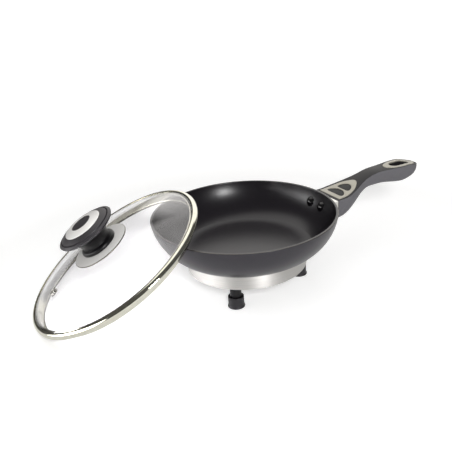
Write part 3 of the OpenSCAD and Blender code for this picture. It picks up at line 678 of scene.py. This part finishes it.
def plateOnTop(name, outline, low, high, slices=24):  # flat plate bent to the grip's top face
    piece = drawPath(name, [(x, y, 0) for x, y in outline])
    bpy.ops.mesh.select_all(action="SELECT")
    bpy.ops.mesh.edge_face_add()
    bpy.ops.mesh.extrude_region_move(TRANSFORM_OT_translate={"value": (0, 0, (high - low) * mm)})
    # slices across the plate let it follow the curve of the grip
    left = min(x for x, y in outline)
    right = max(x for x, y in outline)
    for i in range(1, slices):
        bpy.ops.mesh.select_all(action="SELECT")
        spot = left + (right - left) * i / slices
        bpy.ops.mesh.bisect(plane_co=(spot * mm, 0, 0), plane_no=(1, 0, 0))
    bpy.ops.mesh.select_all(action="SELECT")
    bpy.ops.mesh.normals_make_consistent(inside=False)
    bpy.ops.object.mode_set(mode="OBJECT")
    for vertex in piece.data.vertices:
        vertex.co.z += (gripTop(gripU(vertex.co.x / mm)) + low) * mm
    return piece


def makeShell():
    s = handleShape
    p = pocketShape
    grip = makeGrip()
    softenEdges(grip, s["crease"], s["creaseSteps"])
    deep = -frontPlate["thick"] - p["deeper"]
    cutWith(grip, plateOnTop("frontPocket", frontOutline(p["gap"]), deep, p["above"]))
    cutWith(grip, plateOnTop("rearPocket", rearOutline(p["gap"]), deep, p["above"]))
    cutWith(grip, slotCutter("hangCutter", 0))
    smooth(grip, degrees=30)
    dress(grip, "gripSide", "gripTop")
    along, across = hangSlot["walls"]
    for face in grip.data.polygons:  # the top is dark; the walls of the hanging slot take the same dark finish, as painted shade
        x = face.center.x / mm
        depth = gripTop(gripU(x)) - face.center.z / mm
        # painted shade: the walls of the hanging slot
        slotShade = abs(x - hangSlot["centre"]) < along and abs(face.center.y) / mm < across
        onTop = depth < s["darkDepth"] and face.normal.z > s["darkFacing"]
        face.material_index = 1 if slotShade or onTop else 0
    finishPiece(grip, "skillet", "handle_shell")


def finishPlate(plate, edge, look, node):
    softenEdges(plate, edge)
    smooth(plate, degrees=30)
    dress(plate, look)
    finishPiece(plate, "skillet", node)


def makePlates():
    f = frontPlate
    r = rearPlate
    b = beanShape
    front = plateOnTop("handleFrontPlate", frontOutline(0), -f["thick"], f["proud"])
    for index in range(len(b["lengths"])):
        cutWith(front, plateOnTop("beanCutter", beanOutline(index, b["gap"]), -b["cut"], b["cut"]))
    finishPlate(front, f["edge"], "silver", "handle_front_inlay")
    for index in range(len(b["lengths"])):
        pad = plateOnTop("handlePad" + str(index), beanOutline(index, 0), -f["thick"], -b["sink"])
        finishPlate(pad, b["edge"], "pad", "handle_pads")
    rear = plateOnTop("handleRearPlate", rearOutline(0), -r["thick"], r["proud"])
    cutWith(rear, slotCutter("rearCutter", r["opening"]))
    finishPlate(rear, r["edge"], "silver", "handle_rear_inlay")


makeShell()
makePlates()
print("handle modelled")


# Lid: pieces are turned upright about Z and then leaned

lidLean = {"tilt": 29.9, "bearing": 166.3, "reach": 143.411}  # degrees, and millimetres from the pan's axis
lidShape = {
    "radius": 107.9, "skirt": 99.5,            # outer radii of the band's bead and of its skirt
    "metal": 0.8, "seat": 0.15,                # sheet of the band, and gaps between pieces
    "top": 32.8, "edge": 11.0, "glass": 3.6,   # dome's height in the middle and at its edge, and the glass
    "bead": 3.9, "turnIn": 10,                 # radius of the bead, and degrees that it turns past its crest
    "roll": 2.0,                               # radius of the band below the glass
    "hem": 0.9, "hemFlat": 1.5, "hemTop": 2.2,    # fold inside the skirt's edge
    "hemShadeHeight": 1.7,                            # height up to which the fold is painted dark grey, as shade inside the skirt's edge
    "rounds": {3: 0.8, 4: 0.4, 5: 0.4, 6: 0.35, 7: 0.35, 8: 1.2},    # by inner corner of the band
    "inward": 0.2, "upward": 0.5,              # how far an inner face looks inwards or up
    "domeSteps": 40, "beadSteps": 16, "rollSteps": 8, "turns": 192,
}


def leanPlace():
    turn = math.radians(lidLean["bearing"])
    height = lidShape["skirt"] * math.sin(math.radians(lidLean["tilt"]))  # the skirt stands on the worktop
    return (lidLean["reach"] * math.cos(turn), lidLean["reach"] * math.sin(turn), height)


def lean(piece):
    place(piece, leanPlace(), (0, lidLean["tilt"], lidLean["bearing"]))


def glassRadius():
    return lidShape["radius"] - lidShape["roll"]


def domeBall():
    rise = lidShape["top"] - lidShape["edge"]
    return (glassRadius() ** 2 + rise ** 2) / (2 * rise)


def domeHeight(r, offset=0.0):  # height of the dome's outer face, or of a face offset from it
    ball = domeBall()
    return lidShape["top"] - ball + math.sqrt((ball + offset) ** 2 - r * r)


def domeRun(start, end, offset, steps):
    rs = [start + (end - start) * i / steps for i in range(steps + 1)]
    return [(r, domeHeight(r, offset)) for r in rs]


def underGlass(r):  # height at which metal meets the glass from below
    return domeHeight(r, -lidShape["glass"]) - lidShape["seat"]


def makeGlass():
    s = lidShape
    hole = knobShape["screwHole"]
    over = domeRun(hole, glassRadius(), 0, s["domeSteps"])
    under = domeRun(glassRadius(), hole, -s["glass"], s["domeSteps"])
    glass = turnProfile("lidGlass", over + under + [over[0]], s["turns"])
    smooth(glass)
    lean(glass)
    glass.visible_shadow = False  # clear glass hardly dims the worktop
    dress(glass, "glass")
    finishPiece(glass, "lid", "lid_glass")


def bandProfile():
    s = lidShape
    seat = s["seat"]
    metal = s["metal"]
    roll = s["roll"]
    bead = s["bead"]
    edge = glassRadius()
    crest = s["radius"] - bead
    skirtIn = s["skirt"] - metal
    hemIn = skirtIn - s["hem"]
    beadCentre = (crest, domeHeight(crest) + seat + metal - bead)
    rollTop = arcPoints(beadCentre, bead, 0, 90 + s["turnIn"], s["beadSteps"])
    lipIn = rollTop[-1][0]
    inside = [
        (lipIn, domeHeight(lipIn) + seat), (edge + seat, domeHeight(edge) + seat),
        (edge + seat, underGlass(edge)), (skirtIn, underGlass(skirtIn)),
        (skirtIn, s["hemTop"]), (hemIn, s["hemFlat"]), (hemIn, 0),
        (s["skirt"], 0), (s["skirt"], underGlass(s["skirt"]) - metal),
    ]
    rollLow = arcPoints((edge, underGlass(edge) - metal + roll), roll, -90, 0, s["rollSteps"])
    profile = roundCorners(inside, s["rounds"]) + rollLow + rollTop
    return profile + [profile[0]]


def makeBand():
    s = lidShape
    band = turnProfile("lidBand", bandProfile(), s["turns"])
    smooth(band, degrees=28)
    dress(band, "polished", "dull", "darkEdges")
    for face in band.data.polygons:  # the side that faces the glass and the inside keeps its mill finish; the fold low inside the skirt is painted dark grey, as shade
        spot, reach, outward = faceSpot(face)
        inward = outward < -s["inward"] * reach
        covered = spot.z < domeHeight(reach) - s["glass"] / 2
        # painted shade: the fold low inside the skirt takes the dark grey finish
        hem = inward and spot.z < s["hemShadeHeight"]
        face.material_index = 2 if hem else 1 if covered and (inward or face.normal.z > s["upward"]) else 0
    lean(band)
    finishPiece(band, "lid", "lid_band")


ventShape = {
    "orbit": 70.0, "bearing": 3.0, "hole": 2.0, "neck": 3.0, "flange": 5.0, "thick": 0.8,
    "rounds": {1: 0.35, 6: 0.4, 7: 0.5}, "turns": 48,
}


def makeVent():
    v = ventShape
    seat = lidShape["seat"]
    low = -lidShape["glass"] - 2 * seat
    foot = low - v["thick"]
    head = seat + v["thick"]
    profile = [
        (v["hole"], foot), (v["flange"], foot), (v["flange"], low), (v["neck"], low), (v["neck"], seat),
        (v["flange"], seat), (v["flange"], head), (v["hole"], head), (v["hole"], foot),
    ]
    vent = turnProfile("ventEyelet", roundCorners(profile, v["rounds"]), v["turns"])
    slope = math.degrees(math.asin(v["orbit"] / domeBall()))
    turn = math.radians(v["bearing"])
    spot = (v["orbit"] * math.cos(turn), v["orbit"] * math.sin(turn), domeHeight(v["orbit"]))
    place(vent, spot, (0, slope, v["bearing"]))
    smooth(vent)
    lean(vent)
    dress(vent, "bright")
    finishPiece(vent, "lid", "vent_eyelet")


# Knob: disc on the glass, waisted stem, grooved cap and a ring let into it

knobShape = {
    "screwHole": 3.5, "turns": 128,
    "disc": 32.5, "discThick": 1.2, "discRounds": (0.5, 0.25), "discSteps": 24,
    "darkEdgeWidth": 0.6,                            # width of the disc's dark grey outer band
    "foot": 20.5, "waist": 16.5, "head": 25.0, "stem": 19.0,    # radii of the stem, and its height
    "flare": 2.2,                              # power of the curve from waist to head
    "bead": 4.0, "beadIn": (0.6, 0.5), "beadBelly": 0.4, "beadRounds": (0.5, 0.7, 1.2), "neckGap": 1.2,
    "soleSteps": 12, "neckSteps": 20, "stemTurns": 96,
    "cap": 33.0, "capHeight": 12.5, "capEdge": 4.5,
    "bevels": ((2.7, 1.1), (0.7, 2.7)), "capRounds": {2: 1.5, 3: 0.8},    # in from the cap's edge, and up
    "shoulder": (0.35, 0.12),
    "groove": 3.6, "grooveDepth": 1.4,
    "grooveMouth": 0.7, "grooveFloor": 0.45,   # half widths
    "rimStops": (1.2, 2.0), "slopeStops": (27.0, 25.0, 23.0), "middleStops": (8.0, 5.0, 2.5, 0.0),
    "inlay": 21.5, "inlayWidth": 10.0, "inlayThick": 1.4, "inlayProud": 0.3, "inlayGap": 0.15,
    "inlayBrim": (0.5, 0.6),                   # last stops of the crown outside and inside the ring
    "inlayRound": 0.35, "inlaySteps": 10,
}


def makeDisc():
    k = knobShape
    over = domeRun(k["screwHole"], k["disc"], k["discThick"], k["discSteps"])
    under = domeRun(k["disc"], k["screwHole"], lidShape["seat"], k["discSteps"])
    corner = len(over) - 1
    rounds = {corner: k["discRounds"][0], corner + 1: k["discRounds"][1]}
    disc = turnProfile("knobDisc", roundCorners(over + under + [over[0]], rounds), k["turns"])
    smooth(disc)
    dress(disc, "blasted", "darkEdges")
    for face in disc.data.polygons:  # the outermost band of the disc is dark grey
        reach = faceSpot(face)[1]
        face.material_index = 1 if reach > k["disc"] - k["darkEdgeWidth"] else 0
    lean(disc)
    finishPiece(disc, "lid", "knob_disc")


def capLow():  # height of the cap's underside
    return lidShape["top"] + knobShape["discThick"] + knobShape["stem"]


def stemRadius(t):
    k = knobShape
    return k["waist"] + (k["head"] - k["waist"]) * t ** k["flare"]


def makeStem():
    k = knobShape
    steps = k["neckSteps"]
    sole = domeRun(0, k["foot"] - k["beadIn"][0], k["discThick"] + lidShape["seat"], k["soleSteps"])
    low = sole[-1][1]
    belly = (k["foot"], low + k["bead"] * k["beadBelly"])
    beadTop = (k["foot"] - k["beadIn"][1], low + k["bead"])
    neckLow = low + k["bead"] + k["neckGap"]
    neck = [(stemRadius(i / steps), neckLow + (capLow() - neckLow) * i / steps) for i in range(steps + 1)]
    corner = len(sole) - 1
    rounds = {corner + i: size for i, size in enumerate(k["beadRounds"])}
    rounded = roundCorners(sole + [belly, beadTop, neck[0]], rounds)
    stem = turnProfile("knobStem", rounded + neck[1:] + [(0, capLow())], k["stemTurns"])
    smooth(stem)
    lean(stem)
    dress(stem, "phenolic")
    finishPiece(stem, "lid", "knob_stem")


def onCrown(radii, proud=0.0):  # points on the cap's crown, or proud of it
    k = knobShape
    rise = k["capHeight"] - k["capEdge"]
    crown = (k["cap"] ** 2 + rise ** 2) / (2 * rise)
    centre = capLow() + k["capHeight"] - crown
    return [(r, centre + math.sqrt((crown + proud) ** 2 - r * r)) for r in radii]


def inlayLow():  # floor of the ring's pocket
    return onCrown([knobShape["inlay"]])[0][1] - knobShape["inlayThick"]


def makeCap():
    k = knobShape
    low = capLow()
    flat = low + lidShape["seat"]
    rimHeight = low + k["capEdge"]
    edge = k["cap"]
    below = [(0, flat), (k["head"], flat)] + [(edge - inset, low + up) for inset, up in k["bevels"]]
    rounded = roundCorners(below + [(edge, rimHeight)], k["capRounds"])
    shoulder = [(edge - k["shoulder"][0], rimHeight + k["shoulder"][1])]
    groove = edge - k["groove"]
    grooveLow = onCrown([groove])[0][1] - k["grooveDepth"]
    rim = onCrown([edge - stop for stop in k["rimStops"]] + [groove + k["grooveMouth"]])
    dip = [(groove + k["grooveFloor"], grooveLow), (groove - k["grooveFloor"], grooveLow)]
    inlayIn = k["inlay"] - k["inlayWidth"]
    pocketOut = k["inlay"] + k["inlayGap"]
    pocketIn = inlayIn - k["inlayGap"]
    slope = onCrown([groove - k["grooveMouth"], *k["slopeStops"], k["inlay"] + k["inlayBrim"][0], pocketOut])
    pocket = [(pocketOut, inlayLow()), (pocketIn, inlayLow())]
    middle = onCrown([pocketIn, inlayIn - k["inlayBrim"][1], *k["middleStops"]])
    cap = turnProfile("knobCap", rounded + shoulder + rim + dip + slope + pocket + middle, k["turns"])
    smooth(cap, degrees=30)
    lean(cap)
    dress(cap, "knob")
    finishPiece(cap, "lid", "knob_cap")


def makeInlay():
    k = knobShape
    steps = k["inlaySteps"]
    inlayIn = k["inlay"] - k["inlayWidth"]
    upper = onCrown([inlayIn + k["inlayWidth"] * i / steps for i in range(steps + 1)], k["inlayProud"])
    profile = upper + [(k["inlay"], inlayLow()), (inlayIn, inlayLow()), upper[0]]
    rounded = roundCorners(profile, {0: k["inlayRound"], steps: k["inlayRound"]})
    inlay = turnProfile("knobRing", rounded, k["turns"])
    smooth(inlay)
    lean(inlay)
    dress(inlay, "blasted")
    finishPiece(inlay, "lid", "knob_ring")


makeGlass()
makeBand()
makeVent()
makeDisc()
makeStem()
makeCap()
makeInlay()
print("lid and knob turned and leaned")


# Stage, light and camera

stageShape = {
    "size": 40.0,
    "litBase": 0.92,     # floor's colour where it lights the object
    "seenBase": 0.8,     # share of the seen white that takes shadows
    "glow": (0.41, 1.0), "spread": (0.35, 0.8),        # glow added to the seen white, rising with distance
    "mirrorGlow": (0.15, 0.0), "table": (0.8, 1.6),    # mirrors see a white table top in a dimmer room
}


def makeStage():
    s = stageShape
    clearSelection()
    bpy.ops.mesh.primitive_plane_add(size=s["size"])
    floor = bpy.context.object
    floor.name = "studioFloor"
    material, tree, shader = newMaterial("paleFloor", Roughness=0.9, Specular_IOR_Level=0.0,
                                         Emission_Color=(1, 1, 1, 1))
    spot = addNode(tree, "ShaderNodeTexCoord").outputs["Object"]
    away = addNode(tree, "ShaderNodeVectorMath", {"operation": "LENGTH"}, {0: spot}).outputs["Value"]
    path = addNode(tree, "ShaderNodeLightPath").outputs
    seen = addNode(tree, "ShaderNodeMath", {"operation": "MAXIMUM"},
                   {0: path["Is Camera Ray"], 1: path["Is Transmission Ray"]}).outputs["Value"]
    shown = addNode(tree, "ShaderNodeMath", {"operation": "MAXIMUM"},
                    {0: seen, 1: path["Is Glossy Ray"]}).outputs["Value"]
    base = addNode(tree, "ShaderNodeMapRange", {"To Min": s["litBase"], "To Max": s["seenBase"]},
                   {"Value": shown})
    near = addNode(tree, "ShaderNodeMapRange",
                   {"From Min": s["spread"][0], "From Max": s["spread"][1],
                    "To Min": s["glow"][0], "To Max": s["glow"][1]}, {"Value": away})
    table = addNode(tree, "ShaderNodeMapRange",
                    {"From Min": s["table"][0], "From Max": s["table"][1],
                     "To Min": s["mirrorGlow"][0], "To Max": s["mirrorGlow"][1]}, {"Value": away})
    seenGlow = addNode(tree, "ShaderNodeMath", {"operation": "MULTIPLY"},
                       {0: seen, 1: near.outputs["Result"]})
    glow = addNode(tree, "ShaderNodeMath", {"operation": "MULTIPLY_ADD"},
                   {0: path["Is Glossy Ray"], 1: table.outputs["Result"], 2: seenGlow.outputs["Value"]})
    tree.links.new(base.outputs["Result"], shader.inputs["Base Color"])
    tree.links.new(glow.outputs["Value"], shader.inputs["Emission Strength"])
    floor.data.materials.append(material)


# Mirrors see two round soft lights, above and behind the object, in a dim room, so that they keep their dark
# lines. The camera, and glass that it looks through, see the room as white. Even light fills the shadows.
worldShape = {
    "lights": ((0.1, 0.45, 0.887), (0.6, 0.7, 0.39)),    # ways to the middle of each light
    "edge": (0.83, 0.89),                                # cosines between which a light fades
    "dim": 0.1, "bright": 1.5,
    "fill": 0.3, "tint": (1.0, 0.985, 0.955),
}


def makeWorld():
    w = worldShape
    world = bpy.data.worlds.new("studioWorld")
    bpy.context.scene.world = world
    world.use_nodes = True
    tree = world.node_tree
    background = tree.nodes["Background"]
    way = addNode(tree, "ShaderNodeTexCoord").outputs["Generated"]
    facing = [addNode(tree, "ShaderNodeVectorMath", {"operation": "DOT_PRODUCT", 1: light}, {0: way})
              for light in w["lights"]]
    nearest = addNode(tree, "ShaderNodeMath", {"operation": "MAXIMUM"},
                      {0: facing[0].outputs["Value"], 1: facing[1].outputs["Value"]})
    studio = addNode(tree, "ShaderNodeMapRange",
                     {"From Min": w["edge"][0], "From Max": w["edge"][1],
                      "To Min": w["dim"], "To Max": w["bright"]}, {"Value": nearest.outputs["Value"]})
    path = addNode(tree, "ShaderNodeLightPath").outputs
    lit = addNode(tree, "ShaderNodeMapRange", {"To Min": w["fill"]},
                  {"Value": path["Is Glossy Ray"], "To Max": studio.outputs["Result"]})
    unturned = addNode(tree, "ShaderNodeMath", {"operation": "LESS_THAN", 1: 1.0},
                       {0: path["Glossy Depth"]})  # no mirror on the way
    through = addNode(tree, "ShaderNodeMath", {"operation": "MULTIPLY"},
                      {0: path["Is Transmission Ray"], 1: unturned.outputs["Value"]})
    seen = addNode(tree, "ShaderNodeMath", {"operation": "MAXIMUM"},
                   {0: path["Is Camera Ray"], 1: through.outputs["Value"]}).outputs["Value"]
    colour = addNode(tree, "ShaderNodeVectorMath", {"operation": "MAXIMUM", 0: w["tint"]}, {1: seen})
    strength = addNode(tree, "ShaderNodeMath", {"operation": "MAXIMUM"}, {0: lit.outputs["Result"], 1: seen})
    tree.links.new(colour.outputs["Vector"], background.inputs["Color"])
    tree.links.new(strength.outputs["Value"], background.inputs["Strength"])


lamps = {  # seen is whether mirrors show the lamp, lit is whether it lights the object
    "overheadFill": {"at": (0.1, -0.15, 1.3), "size": (1.6, 1.6), "watts": 5, "seen": False, "lit": True},
    "cameraKey": {"at": (-0.49, -1.27, 0.85), "size": (0.25, 0.25), "watts": 17, "seen": False, "lit": True},
    "frontBox": {"at": (-0.05, -1.15, 0.46), "size": (0.26, 0.26), "watts": 8, "seen": True, "lit": False},
    "leftPanel": {"at": (-1.16, 0.28, 0.23), "size": (1.5, 0.5), "watts": 15, "seen": True, "lit": False},
}


def makeLamps():
    for name, lamp in lamps.items():
        light = bpy.data.lights.new(name, "AREA")
        light.shape = "RECTANGLE"
        light.size, light.size_y = lamp["size"]
        light.energy = lamp["watts"]
        holder = bpy.data.objects.new(name, light)
        bpy.context.collection.objects.link(holder)
        holder.visible_glossy = lamp["seen"]
        holder.visible_diffuse = lamp["lit"]
        holder.location = lamp["at"]
        aim = -Vector(lamp["at"])
        holder.rotation_euler = aim.to_track_quat("-Z", "Y").to_euler()


cameraShape = {
    "at": (-350.12, -631.63, 389.19),    # in millimetres
    "ahead": (0.42049, 0.81322, -0.40233),
    "up": (0.25027, 0.32227, 0.91297),
    "lens": 56.68, "sensor": 36.0,
}


def makeCamera():
    c = cameraShape
    data = bpy.data.cameras.new("photoCamera")
    data.lens = c["lens"]
    data.sensor_width = c["sensor"]
    camera = bpy.data.objects.new("photoCamera", data)
    bpy.context.collection.objects.link(camera)
    back = -Vector(c["ahead"])
    up = Vector(c["up"])
    right = up.cross(back)
    turn = Matrix((right, up, back)).transposed().to_4x4()
    camera.matrix_world = Matrix.Translation(Vector(c["at"]) * mm) @ turn
    bpy.context.scene.camera = camera


makeStage()
makeWorld()
makeLamps()
makeCamera()
bpy.context.scene.view_settings.view_transform = "Standard"
print("stage, lamps and camera set")
